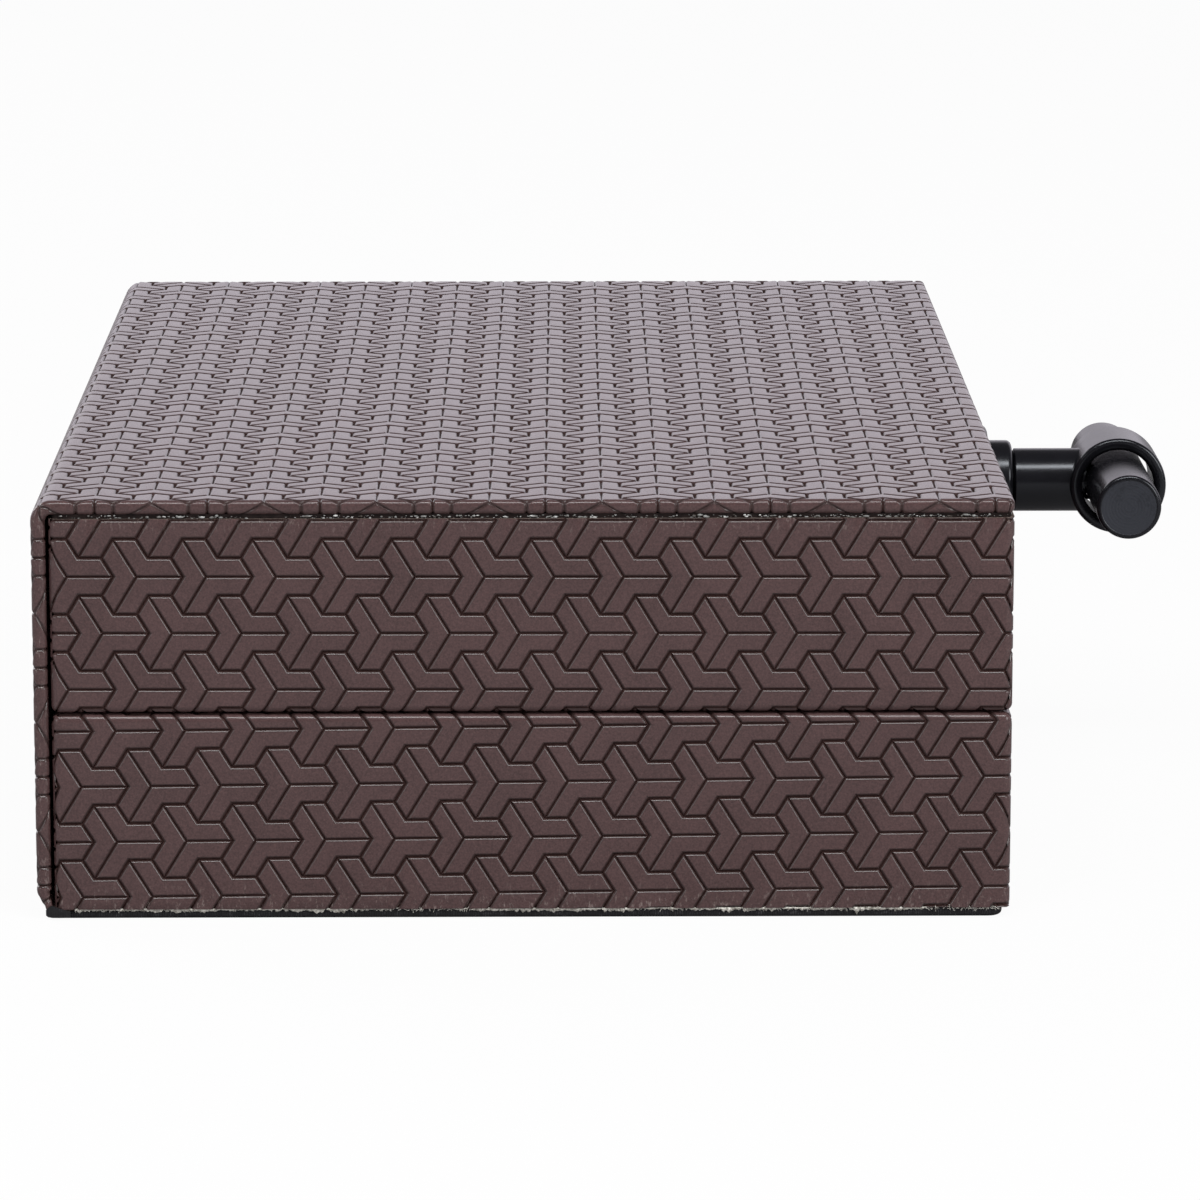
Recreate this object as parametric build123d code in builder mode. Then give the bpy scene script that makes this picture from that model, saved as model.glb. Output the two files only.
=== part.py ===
"""Book-style storage box: two leather-covered trays joined by a folding spine, with a T-bar lid pull.

Millimetres, +Z up. X runs from the spine to the pull, Y along the spine, and the origin is the
middle of the case's footprint on the table.
"""
import os

from build123d import *

os.makedirs("parts", exist_ok=True)

# Case
case_width = 200.0  # X, outer face of the spine to the handle face
case_length = 300.0  # Y, along the spine
case_height = 87.5  # Z, table to the top cover
leather = 0.6  # embossed covering
corner_round = 1.6  # upright corners of the covered trays
rim_round = 1.4  # leather over the outer edge of each rim
rim_inner_round = 0.9
turn_in = 8.0  # leather turned over an edge and glued down behind it
overrun = 5.0  # every cut runs this far past the face it opens

# Trays
wall = 6.0
floor_board = 3.0
wall_lining_thick = 1.0
floor_lining_thick = 1.2
lower_tray_height = 40.8
parting_gap = 0.6
seam_gap = 1.2  # bare joint between the upper band's raw edge and the top cover

# Top cover
top_board_thick = 1.5
top_round = 1.0
ceiling_pad = 1.4  # lined card that stands below the top cover

# Spine and its two leather hinges
spine_board_thick = 1.2
spine_lining_thick = 0.5
spine_clearance = 1.3
spine_corner_radius = 4.2  # cover's bend from spine to top
crease_height = 3.5  # base pad to the spine's lower edge
hinge_gap = 0.3
tongue_width = 18.0  # leather glued under the lower tray

# Base pad
pad_height = 2.2
pad_inset = 2.2
pad_end_inset = 0.8
pad_skin = 0.4
pad_corner = 3.0

# Closing magnets
magnet_length = 12.0
magnet_width = 3.0
magnet_thick = 2.0
magnet_spacing = 180.0
magnet_clearance = 0.1

# Pull
rosette_diameter = 25.0
rosette_height = 5.2
rosette_chamfer = 1.3
collar_diameter = 18.0
collar_height = 5.6
collar_chamfer = 0.9
neck_diameter = 13.3
neck_length = 0.6
stem_diameter = 14.3
stem_chamfer = 0.3
sleeve_diameter = 21.7
sleeve_bore = 16.2
sleeve_length = 17.5
sleeve_chamfer = 0.4
bar_diameter = 14.4
bar_length = 70.0
bar_chamfer = 0.8
bar_standoff = 34.6  # handle face to the bar's axis
seat_clearance = 0.05  # between round seats of the pull

# Pull fasteners
screw_diameter = 4.0
screw_clearance = 0.2
screw_head_diameter = 8.0
screw_head_height = 2.4
screw_grip = 6.0  # thread engaged in the stem
screw_to_stud = 1.5
stud_grip = 8.0  # thread engaged in the bar
washer_diameter = 9.0
washer_thick = 0.8
counterbore_clearance = 0.5
head_recess = 0.2
spacer_diameter = 9.0

# Places worked out from the sizes above
half_width = case_width / 2
half_length = case_length / 2
spine_thick = leather + spine_board_thick + spine_lining_thick
spine_inner_x = -half_width + spine_thick
tray_left = spine_inner_x + spine_clearance
tray_width = half_width - tray_left
tray_mid = (half_width + tray_left) / 2
core_width = tray_width - 2 * leather
core_length = case_length - 2 * leather
core_corner = corner_round - leather
well_width = core_width - 2 * wall
well_length = core_length - 2 * wall
mouth_width = well_width - 2 * leather
mouth_length = well_length - 2 * leather
lined_width = well_width - 2 * wall_lining_thick
lined_length = well_length - 2 * wall_lining_thick
top_thick = top_board_thick + 2 * leather
top_bottom = case_height - top_thick
lower_rim = pad_height + lower_tray_height
upper_rim = lower_rim + parting_gap
upper_tray_height = top_bottom - upper_rim
bend_x = -half_width + spine_corner_radius
bend_z = case_height - spine_corner_radius
spine_low = pad_height + crease_height
spine_height = bend_z - spine_low
top_width = half_width - bend_x
top_mid = (half_width + bend_x) / 2
pad_width = case_width - 2 * pad_inset
pad_length = case_length - 2 * pad_end_inset
handle_z = (upper_rim + top_bottom) / 2
bar_x = half_width + bar_standoff
side_wall_shift = (core_width - wall) / 2
end_wall_shift = (core_length - wall) / 2

# Each tray is drawn on the plane of its rim, looking out of its mouth
lower_mouth = Plane(origin=(tray_mid, 0, lower_rim), x_dir=(1, 0, 0), z_dir=(0, 0, 1))
upper_mouth = Plane(origin=(tray_mid, 0, upper_rim), x_dir=(1, 0, 0), z_dir=(0, 0, -1))


def tray_core(mouth, depth):
    """Ring of the four board walls of a tray, before it is cut into its boards."""
    with BuildPart() as core:
        with BuildSketch(mouth.offset(-depth)):
            RectangleRounded(core_width, core_length, core_corner)
            Rectangle(well_width, well_length, mode=Mode.SUBTRACT)
        extrude(amount=depth - leather)
        rim_face = core.faces().sort_by(Axis(mouth.origin, mouth.z_dir))[-1]
        fillet(rim_face.outer_wire().edges(), rim_round - leather)
    return core.part


def end_wall(core, side):
    """Board across the whole width at one end of the spine's length."""
    with BuildPart() as board:
        add(core)
        with Locations((tray_mid, side * end_wall_shift, 0)):
            Box(case_width, wall, 2 * case_height, mode=Mode.INTERSECT)
    return board.part


def side_wall(core, side):
    """Board along the spine's direction, butted between the two end walls."""
    with BuildPart() as board:
        add(core)
        with Locations((tray_mid + side * side_wall_shift, 0, 0)):
            Box(wall, well_length, 2 * case_height, mode=Mode.INTERSECT)
    return board.part


def tray_band(mouth, depth, edge_gap, core):
    """Leather round the outside of a tray, over its rim and a little way down the inside."""
    with BuildPart() as band:
        with BuildSketch(mouth.offset(-depth + edge_gap)):
            RectangleRounded(tray_width, case_length, corner_round)
        extrude(amount=depth - edge_gap)
        rim_face = band.faces().sort_by(Axis(mouth.origin, mouth.z_dir))[-1]
        fillet(rim_face.outer_wire().edges(), rim_round)
        with BuildSketch(mouth.offset(-depth)):
            Rectangle(mouth_width, mouth_length)
        extrude(amount=depth + overrun, mode=Mode.SUBTRACT)
        rim_face = band.faces().sort_by(Axis(mouth.origin, mouth.z_dir))[-1]
        fillet(rim_face.inner_wires()[0].edges(), rim_inner_round)
        with BuildSketch(mouth.offset(-depth)):
            Rectangle(well_width, well_length)
        extrude(amount=depth - turn_in, mode=Mode.SUBTRACT)
        add(core, mode=Mode.SUBTRACT)
    return band.part


def tray_lining(mouth, from_depth):
    """Cloth on the four inner wall faces, from the turned-in leather to the bottom of the well."""
    with BuildPart() as cloth:
        with BuildSketch(mouth.offset(-from_depth)):
            Rectangle(well_width, well_length)
            Rectangle(lined_width, lined_length, mode=Mode.SUBTRACT)
        extrude(amount=from_depth - turn_in)
    return cloth.part


def magnet_places(mouth):
    """Middle of each closing magnet, under the rim leather of the handle-side wall."""
    magnet_level = mouth.offset(-leather - magnet_thick / 2)
    return [
        magnet_level.from_local_coords((side_wall_shift, side * magnet_spacing / 2, 0)) for side in (-1, 1)
    ]


def magnet_pockets(mouth):
    """Slots that take the magnets, cut down from the bare rim of the handle-side wall."""
    with BuildPart() as slots:
        with Locations(*magnet_places(mouth)):
            Box(
                magnet_width + 2 * magnet_clearance,
                magnet_length + 2 * magnet_clearance,
                magnet_thick + 2 * magnet_clearance,
            )
    return slots.part


# Base pad: a card board with black cloth underneath and round its edge
with BuildPart() as hinge_tongue:
    with BuildSketch(Plane.XY.offset(pad_height - leather)):
        with Locations((tray_left, 0)):
            Rectangle(tongue_width, pad_length - 2 * pad_skin, align=(Align.MIN, Align.CENTER))
    extrude(amount=leather)

with BuildPart() as tongue_rebate:
    with BuildSketch(Plane.XY.offset(pad_height - leather)):
        with Locations((tray_left + tongue_width, 0)):
            Rectangle(case_width, case_length, align=(Align.MAX, Align.CENTER))
    extrude(amount=leather + overrun)

with BuildPart() as base_board:
    with BuildSketch(Plane.XY.offset(pad_skin)):
        RectangleRounded(pad_width - 2 * pad_skin, pad_length - 2 * pad_skin, pad_corner - pad_skin)
    extrude(amount=pad_height - pad_skin)
    add(tongue_rebate.part, mode=Mode.SUBTRACT)
base_board.part.label = "base_board"
export_step(base_board.part, "parts/base_board.step")

with BuildPart() as base_skin:
    with BuildSketch():
        RectangleRounded(pad_width, pad_length, pad_corner)
    extrude(amount=pad_height)
    with BuildSketch(Plane.XY.offset(pad_skin)):
        RectangleRounded(pad_width - 2 * pad_skin, pad_length - 2 * pad_skin, pad_corner - pad_skin)
    extrude(amount=pad_height, mode=Mode.SUBTRACT)
    add(tongue_rebate.part, mode=Mode.SUBTRACT)
base_skin.part.label = "base_skin"
export_step(base_skin.part, "parts/base_skin.step")

hinge_tongue.part.label = "hinge_tongue"
export_step(hinge_tongue.part, "parts/hinge_tongue.step")

# Base hinge: the spine's leather falls in to a crease, then runs under the tray to its tongue
crease_top = spine_low - hinge_gap
crease_low = pad_height - leather
crease_x = -half_width + pad_inset
with BuildPart() as base_hinge_strip:
    with BuildSketch(Plane.XZ) as crease_section:
        with BuildLine():
            Polyline(
                (-half_width, crease_top),
                (crease_x, crease_low),
                (tray_left, crease_low),
                (tray_left, pad_height),
                (spine_inner_x, pad_height),
                (spine_inner_x, crease_top),
                close=True,
            )
        make_face()
        knee = crease_section.vertices().group_by(Axis.Y)[0].sort_by(Axis.X)[0]
        fillet(knee, leather)
    extrude(amount=half_length - pad_end_inset, both=True)
base_hinge_strip.part.label = "base_hinge_strip"
export_step(base_hinge_strip.part, "parts/base_hinge_strip.step")

# Lower tray
lower_core = tray_core(lower_mouth, lower_tray_height)
lower_pockets = magnet_pockets(lower_mouth)

with BuildPart() as lower_front_wall:
    add(end_wall(lower_core, -1))
lower_front_wall.part.label = "lower_front_wall"
export_step(lower_front_wall.part, "parts/lower_front_wall.step")

with BuildPart() as lower_back_wall:
    add(end_wall(lower_core, 1))
lower_back_wall.part.label = "lower_back_wall"
export_step(lower_back_wall.part, "parts/lower_back_wall.step")

with BuildPart() as lower_hinge_wall:
    add(side_wall(lower_core, -1))
lower_hinge_wall.part.label = "lower_hinge_wall"
export_step(lower_hinge_wall.part, "parts/lower_hinge_wall.step")

with BuildPart() as lower_handle_wall:
    add(side_wall(lower_core, 1))
    add(lower_pockets, mode=Mode.SUBTRACT)
lower_handle_wall.part.label = "lower_handle_wall"
export_step(lower_handle_wall.part, "parts/lower_handle_wall.step")

with BuildPart() as lower_floor:
    with BuildSketch(Plane.XY.offset(pad_height)):
        with Locations((tray_mid, 0)):
            Rectangle(well_width, well_length)
    extrude(amount=floor_board)
lower_floor.part.label = "lower_floor"
export_step(lower_floor.part, "parts/lower_floor.step")

with BuildPart() as lower_wrap:
    add(tray_band(lower_mouth, lower_tray_height, 0, lower_core))
lower_wrap.part.label = "lower_wrap"
export_step(lower_wrap.part, "parts/lower_wrap.step")

with BuildPart() as lower_wall_lining:
    add(tray_lining(lower_mouth, lower_tray_height - floor_board))
lower_wall_lining.part.label = "lower_wall_lining"
export_step(lower_wall_lining.part, "parts/lower_wall_lining.step")

with BuildPart() as lower_floor_lining:
    with BuildSketch(Plane.XY.offset(pad_height + floor_board)):
        with Locations((tray_mid, 0)):
            Rectangle(lined_width, lined_length)
    extrude(amount=floor_lining_thick)
lower_floor_lining.part.label = "lower_floor_lining"
export_step(lower_floor_lining.part, "parts/lower_floor_lining.step")

with BuildPart() as lower_magnets:
    with Locations(*magnet_places(lower_mouth)):
        Box(magnet_width, magnet_length, magnet_thick)
lower_magnets.part.label = "lower_magnets"
export_step(lower_magnets.part, "parts/lower_magnets.step")

# Spine: a board in a leather channel, lined on its inner face
with BuildPart() as spine_board:
    with BuildSketch(Plane.XY.offset(spine_low)):
        with Locations((-half_width + leather, 0)):
            Rectangle(spine_board_thick, core_length, align=(Align.MIN, Align.CENTER))
    extrude(amount=spine_height)
spine_board.part.label = "spine_board"
export_step(spine_board.part, "parts/spine_board.step")

spine_lining_length = core_length - 2 * turn_in
with BuildPart() as spine_lining:
    with BuildSketch(Plane.XY.offset(spine_low)):
        with Locations((spine_inner_x, 0)):
            Rectangle(spine_lining_thick, spine_lining_length, align=(Align.MAX, Align.CENTER))
    extrude(amount=spine_height)
spine_lining.part.label = "spine_lining"
export_step(spine_lining.part, "parts/spine_lining.step")

spine_round_share = 0.4
spine_round = spine_round_share * spine_thick
with BuildPart() as spine_skin:
    with BuildSketch(Plane.XY.offset(spine_low)):
        with Locations((-half_width + spine_thick / 2, 0)):
            RectangleRounded(spine_thick, case_length, spine_round)
    extrude(amount=spine_height)
    add(spine_board.part, mode=Mode.SUBTRACT)
    add(spine_lining.part, mode=Mode.SUBTRACT)
spine_skin.part.label = "spine_skin"
export_step(spine_skin.part, "parts/spine_skin.step")

# Lid hinge: the same thickness of leather carried round the bend from the spine to the top
with BuildPart() as lid_hinge_strip:
    with BuildSketch(Plane.XZ):
        with Locations((bend_x, bend_z)):
            Circle(spine_corner_radius)
            Circle(spine_corner_radius - spine_thick, mode=Mode.SUBTRACT)
        with Locations((bend_x - hinge_gap, bend_z)):
            Rectangle(
                spine_corner_radius, spine_corner_radius, align=(Align.MAX, Align.MIN), mode=Mode.INTERSECT
            )
    extrude(amount=half_length, both=True)
    chamfer(lid_hinge_strip.edges().filter_by(GeomType.CIRCLE), spine_round / 2)
lid_hinge_strip.part.label = "lid_hinge_strip"
export_step(lid_hinge_strip.part, "parts/lid_hinge_strip.step")

# Top cover: a board in leather that turns under it on all but the hinge side
with BuildPart() as top_board:
    with BuildSketch(Plane.XY.offset(top_bottom + leather)) as top_outline:
        with Locations((bend_x, 0)):
            Rectangle(top_width - leather, core_length, align=(Align.MIN, Align.CENTER))
        fillet(top_outline.vertices().group_by(Axis.X)[-1], core_corner)
    extrude(amount=top_board_thick)
top_board.part.label = "top_board"
export_step(top_board.part, "parts/top_board.step")

with BuildPart() as ceiling_lining:
    with BuildSketch(Plane.XY.offset(top_bottom - ceiling_pad)):
        with Locations((tray_mid, 0)):
            Rectangle(well_width, well_length)
    extrude(amount=ceiling_pad + leather)
ceiling_lining.part.label = "ceiling_lining"
export_step(ceiling_lining.part, "parts/ceiling_lining.step")

with BuildPart() as top_skin:
    with BuildSketch(Plane.XY.offset(top_bottom)) as cover_outline:
        with Locations((bend_x, 0)):
            Rectangle(top_width, case_length, align=(Align.MIN, Align.CENTER))
        fillet(cover_outline.vertices().group_by(Axis.X)[-1], corner_round)
    extrude(amount=top_thick)
    cover_faces = top_skin.faces().filter_by(Plane.XY)
    fillet([edge for face in cover_faces for edge in face.edges().sort_by(Axis.X)[1:]], top_round)
    add(top_board.part, mode=Mode.SUBTRACT)
    add(ceiling_lining.part, mode=Mode.SUBTRACT)
top_skin.part.label = "top_skin"
export_step(top_skin.part, "parts/top_skin.step")

# Pull: rosette, collar and necked stem in line, then a short sleeve that holds the bar
pull_axis = Plane(origin=(half_width, 0, handle_z), x_dir=(0, 1, 0), z_dir=(1, 0, 0))
bar_axis = Plane(origin=(bar_x, 0, handle_z), x_dir=(1, 0, 0), z_dir=(0, 1, 0))
collar_foot = rosette_height
neck_foot = collar_foot + collar_height
stem_foot = neck_foot + neck_length
sleeve_radius = sleeve_diameter / 2
bar_radius = bar_diameter / 2
screw_hole = screw_diameter / 2 + seat_clearance
screw_tip = stem_foot + screw_grip
stud_foot = screw_tip + screw_to_stud
stud_tip = bar_standoff - bar_radius + stud_grip

with BuildPart() as handle_rosette:
    with BuildSketch(pull_axis):
        Circle(rosette_diameter / 2)
        Circle(screw_hole, mode=Mode.SUBTRACT)
    extrude(amount=rosette_height)
    outer_face = handle_rosette.faces().sort_by(Axis.X)[-1]
    chamfer(outer_face.outer_wire().edges(), rosette_chamfer)
handle_rosette.part.label = "handle_rosette"
export_step(handle_rosette.part, "parts/handle_rosette.step")

with BuildPart() as handle_collar:
    with BuildSketch(pull_axis.offset(collar_foot)):
        Circle(collar_diameter / 2)
        Circle(screw_hole, mode=Mode.SUBTRACT)
    extrude(amount=collar_height)
    outer_face = handle_collar.faces().sort_by(Axis.X)[-1]
    chamfer(outer_face.outer_wire().edges(), collar_chamfer)
handle_collar.part.label = "handle_collar"
export_step(handle_collar.part, "parts/handle_collar.step")

with BuildPart() as handle_stem:
    with BuildSketch(pull_axis.offset(stem_foot)):
        Circle(stem_diameter / 2)
    extrude(amount=bar_standoff - stem_foot)
    chamfer(handle_stem.faces().sort_by(Axis.X)[0].edges(), stem_chamfer)
    with BuildSketch(pull_axis.offset(neck_foot)):
        Circle(neck_diameter / 2)
    extrude(amount=neck_length)
    with BuildSketch(bar_axis):
        Circle(sleeve_radius + seat_clearance)
    extrude(amount=sleeve_diameter, both=True, mode=Mode.SUBTRACT)
    with BuildSketch(pull_axis):
        Circle(screw_hole)
    extrude(amount=bar_standoff, mode=Mode.SUBTRACT)
handle_stem.part.label = "handle_stem"
export_step(handle_stem.part, "parts/handle_stem.step")

with BuildPart() as handle_sleeve:
    with BuildSketch(bar_axis):
        Circle(sleeve_radius)
    extrude(amount=sleeve_length / 2, both=True)
    chamfer(handle_sleeve.edges().filter_by(GeomType.CIRCLE), sleeve_chamfer)
    with BuildSketch(bar_axis):
        Circle(sleeve_bore / 2)
    extrude(amount=sleeve_length, both=True, mode=Mode.SUBTRACT)
    with BuildSketch(pull_axis):
        Circle(screw_hole)
    extrude(amount=bar_standoff, mode=Mode.SUBTRACT)
handle_sleeve.part.label = "handle_sleeve"
export_step(handle_sleeve.part, "parts/handle_sleeve.step")

with BuildPart() as handle_bar:
    with BuildSketch(bar_axis):
        Circle(bar_radius)
    extrude(amount=bar_length / 2, both=True)
    chamfer(handle_bar.edges().filter_by(GeomType.CIRCLE), bar_chamfer)
    with BuildSketch(pull_axis):
        Circle(screw_hole)
    extrude(amount=stud_tip, mode=Mode.SUBTRACT)
handle_bar.part.label = "handle_bar"
export_step(handle_bar.part, "parts/handle_bar.step")

with BuildPart() as handle_spacer:
    with BuildSketch(pull_axis):
        Circle(spacer_diameter / 2)
        Circle(screw_hole, mode=Mode.SUBTRACT)
    extrude(amount=bar_standoff)
    with BuildSketch(bar_axis):
        Circle(sleeve_bore / 2 - seat_clearance)
        Circle(bar_radius + seat_clearance, mode=Mode.SUBTRACT)
    extrude(amount=sleeve_length, both=True, mode=Mode.INTERSECT)
handle_spacer.part.label = "handle_spacer"
export_step(handle_spacer.part, "parts/handle_spacer.step")

with BuildPart() as handle_stud:
    with BuildSketch(pull_axis.offset(stud_foot)):
        Circle(screw_diameter / 2)
    extrude(amount=stud_tip - stud_foot)
handle_stud.part.label = "handle_stud"
export_step(handle_stud.part, "parts/handle_stud.step")

# Wall screw: its head and washer sit in a counterbore inside the tray, under the lining
inner_face = -(leather + wall)
head_seat = inner_face + head_recess
washer_seat = head_seat + screw_head_height
counterbore_depth = head_recess + screw_head_height + washer_thick

with BuildPart() as handle_screw:
    with BuildSketch(pull_axis.offset(head_seat)):
        Circle(screw_head_diameter / 2)
    extrude(amount=screw_head_height)
    with BuildSketch(pull_axis.offset(head_seat)):
        Circle(screw_diameter / 2)
    extrude(amount=screw_tip - head_seat)
handle_screw.part.label = "handle_screw"
export_step(handle_screw.part, "parts/handle_screw.step")

with BuildPart() as handle_washer:
    with BuildSketch(pull_axis.offset(washer_seat)):
        Circle(washer_diameter / 2)
        Circle(screw_diameter / 2 + screw_clearance, mode=Mode.SUBTRACT)
    extrude(amount=washer_thick)
handle_washer.part.label = "handle_washer"
export_step(handle_washer.part, "parts/handle_washer.step")

# Upper tray, glued by its back edge to the underside of the top cover
upper_core = tray_core(upper_mouth, upper_tray_height)
upper_pockets = magnet_pockets(upper_mouth)

with BuildPart() as upper_front_wall:
    add(end_wall(upper_core, -1))
upper_front_wall.part.label = "upper_front_wall"
export_step(upper_front_wall.part, "parts/upper_front_wall.step")

with BuildPart() as upper_back_wall:
    add(end_wall(upper_core, 1))
upper_back_wall.part.label = "upper_back_wall"
export_step(upper_back_wall.part, "parts/upper_back_wall.step")

with BuildPart() as upper_hinge_wall:
    add(side_wall(upper_core, -1))
upper_hinge_wall.part.label = "upper_hinge_wall"
export_step(upper_hinge_wall.part, "parts/upper_hinge_wall.step")

with BuildPart() as upper_handle_wall:
    add(side_wall(upper_core, 1))
    add(upper_pockets, mode=Mode.SUBTRACT)
    with Locations(Plane(origin=(half_width + inner_face, 0, handle_z), z_dir=(-1, 0, 0))):
        CounterBoreHole(
            radius=screw_diameter / 2 + screw_clearance,
            counter_bore_radius=washer_diameter / 2 + counterbore_clearance,
            counter_bore_depth=counterbore_depth,
            depth=wall + overrun,
        )
upper_handle_wall.part.label = "upper_handle_wall"
export_step(upper_handle_wall.part, "parts/upper_handle_wall.step")

with BuildPart() as upper_wrap:
    add(tray_band(upper_mouth, upper_tray_height, seam_gap, upper_core))
    with BuildSketch(pull_axis):
        Circle(screw_diameter / 2 + screw_clearance)
    extrude(amount=-wall, mode=Mode.SUBTRACT)
upper_wrap.part.label = "upper_wrap"
export_step(upper_wrap.part, "parts/upper_wrap.step")

with BuildPart() as upper_wall_lining:
    add(tray_lining(upper_mouth, upper_tray_height - ceiling_pad))
upper_wall_lining.part.label = "upper_wall_lining"
export_step(upper_wall_lining.part, "parts/upper_wall_lining.step")

with BuildPart() as upper_magnets:
    with Locations(*magnet_places(upper_mouth)):
        Box(magnet_width, magnet_length, magnet_thick)
upper_magnets.part.label = "upper_magnets"
export_step(upper_magnets.part, "parts/upper_magnets.step")
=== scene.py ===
# %% [markdown]
# # A book-style storage box in embossed leather
# The box is two trays that close on each other. One long piece of leather covers the lid, bends down to
# make the spine, and creases under the lower tray, so it is also the hinge. A black T-bar pull lifts the lid.
# The solids come from the part's own frame, so every new piece below is laid where its solid is.

# %% Load the frame
import math
import random

import bmesh
import bpy
from mathutils import Matrix, Vector, noise
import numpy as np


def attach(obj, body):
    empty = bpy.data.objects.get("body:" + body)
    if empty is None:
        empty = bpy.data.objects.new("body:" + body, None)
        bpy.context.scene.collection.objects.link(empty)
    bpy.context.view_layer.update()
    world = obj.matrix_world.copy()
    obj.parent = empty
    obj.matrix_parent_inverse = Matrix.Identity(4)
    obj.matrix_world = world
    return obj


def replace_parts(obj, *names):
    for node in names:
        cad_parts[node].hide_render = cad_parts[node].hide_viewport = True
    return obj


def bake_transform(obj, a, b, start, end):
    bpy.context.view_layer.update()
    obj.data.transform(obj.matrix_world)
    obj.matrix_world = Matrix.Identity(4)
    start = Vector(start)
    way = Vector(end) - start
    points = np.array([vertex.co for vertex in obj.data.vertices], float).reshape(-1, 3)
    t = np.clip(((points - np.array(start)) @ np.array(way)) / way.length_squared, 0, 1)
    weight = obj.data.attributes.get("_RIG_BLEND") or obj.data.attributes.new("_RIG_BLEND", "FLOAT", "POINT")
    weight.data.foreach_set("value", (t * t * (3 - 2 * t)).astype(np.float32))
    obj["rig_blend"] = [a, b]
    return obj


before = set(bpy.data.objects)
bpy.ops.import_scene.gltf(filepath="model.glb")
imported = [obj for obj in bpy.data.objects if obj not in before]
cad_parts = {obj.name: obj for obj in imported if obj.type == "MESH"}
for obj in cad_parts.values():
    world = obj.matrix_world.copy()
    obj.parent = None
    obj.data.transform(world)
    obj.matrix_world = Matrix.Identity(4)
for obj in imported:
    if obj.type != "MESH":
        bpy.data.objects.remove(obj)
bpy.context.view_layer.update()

MM = 0.001

# %% [markdown]
# ## Camera
# The photograph looks at a short end from a little above, through a long lens. The depth lines of the top
# meet far above the picture, which gives the camera's height and its tilt. The box stands a little left of the
# middle, so the camera is turned to the right by about half a degree.

# %% Place the camera
TILT_DOWN, TURN_RIGHT = 11.516, 0.604
camera_data = bpy.data.cameras.new("camera")
camera_data.lens = 184.3
camera_data.sensor_width = 36.0
camera_data.clip_end = 100.0
camera = bpy.data.objects.new("camera", camera_data)
camera.location = (2.74 * MM, -1376.3 * MM, 316.8 * MM)
camera.rotation_euler = (math.radians(90 - TILT_DOWN), 0, math.radians(-TURN_RIGHT))
bpy.context.scene.collection.objects.link(camera)
bpy.context.scene.camera = camera
bpy.context.scene.view_settings.view_transform = "Standard"
print("camera", tuple(round(c, 4) for c in camera.location))

# %% [markdown]
# ## Shader sums
# Finishes are easier to read as sums than as wires. A small class holds one socket: adding or multiplying
# it adds a Math node, and its node method makes any other node and returns one of its outputs.


# %% A socket that takes part in sums
def sums(operation):
    """Two methods that make a Math node, for a socket left of the sign and right of it."""
    def left(self, other):
        return self.node("Math", {"operation": operation}, {0: self, 1: other})

    def right(self, other):
        return self.node("Math", {"operation": operation}, {0: other, 1: self})

    return left, right


class Wire:
    """One shader socket; Python sums on it become Math nodes."""

    def __init__(self, tree, socket=None):
        self.tree = tree
        self.socket = socket

    def node(self, kind, settings=None, inputs=None, output=0):
        """Makes a node: its settings first, then the values or links of its sockets."""
        made = self.tree.nodes.new("ShaderNode" + kind)
        for name, value in (settings or {}).items():
            if name == "stops":
                made.color_ramp.elements[0].position, made.color_ramp.elements[0].color = value[0]
                made.color_ramp.elements[1].position, made.color_ramp.elements[1].color = value[-1]
                for position, colour in value[1:-1]:
                    made.color_ramp.elements.new(position).color = colour
            else:
                setattr(made, name, value)
        for name, value in (inputs or {}).items():
            if isinstance(value, Wire):
                self.tree.links.new(value.socket, made.inputs[name])
            else:
                made.inputs[name].default_value = value
        return Wire(self.tree, made.outputs[output])

    __add__, __radd__ = sums("ADD")
    __sub__, __rsub__ = sums("SUBTRACT")
    __mul__, __rmul__ = sums("MULTIPLY")


def new_finish(name, fixed):
    """A material with one Principled shader, its fixed sockets set; returns both, and the place on the piece."""
    material = bpy.data.materials.new(name)
    material.use_nodes = True
    shader = material.node_tree.nodes["Principled BSDF"]
    for socket, value in fixed.items():
        shader.inputs[socket].default_value = value
    return material, shader, Wire(material.node_tree).node("TexCoord", output=3)


def feed(shader, **wires):
    """Links worked-out values to a shader's sockets, an underscore standing for a space."""
    for name, wire in wires.items():
        wire.tree.links.new(wire.socket, shader.inputs[name.replace("_", " ")])


def linear(*screen):
    """A colour as it is seen on a screen, 0 to 255, in the scene's own linear numbers."""
    parts = (part / 255 for part in screen)
    return (*(p / 12.92 if p <= 0.04045 else ((p + 0.055) / 1.055) ** 2.4 for p in parts), 1.0)


print("shader sums ready")

# %% [markdown]
# ## Chocolate leather
# Embossed leather is waxy on its raised plates and dull in its grooves. The mesh carries a number called relief,
# 0 in the grooves and 1 on the plates. The grooves and the lips round the plates get a darker brown: partly dye that
# pools in the grooves, partly painted shade that darkens the lines between the plates. The wax is a coat that only
# the plates and their lips have, so that a lip which faces a lamp shines as a thin line. Fine grain is a bump,
# because it is far smaller than any face. Along the foot, along the upper band's raw edge and on the upright corners
# the surface is scuffed.


# %% Noise, dye and bump
def ramp(value, low, high):
    """0 at low, 1 at high, and even between them."""
    return value.node("MapRange", None, {"Value": value, 1: low, 2: high})


def speckle(place, scale, detail, roughness=0.5):
    """Cloudy noise; the larger the scale, the finer it is."""
    return place.node("TexNoise", None, {"Vector": place, "Scale": scale, "Detail": detail, "Roughness": roughness})


def dyed(value, *stops):
    """A colour that follows a value through (value, red, green, blue) stops."""
    return value.node("ValToRGB", {"stops": [(at, linear(*colour)) for at, *colour in stops]}, {"Fac": value})


def bumps(height, strength, distance):
    """Relief too fine for any face; the distance is in metres."""
    return height.node("Bump", None, {"Strength": strength, "Distance": distance, "Height": height})


print("noise, dye and bump ready")
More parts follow.
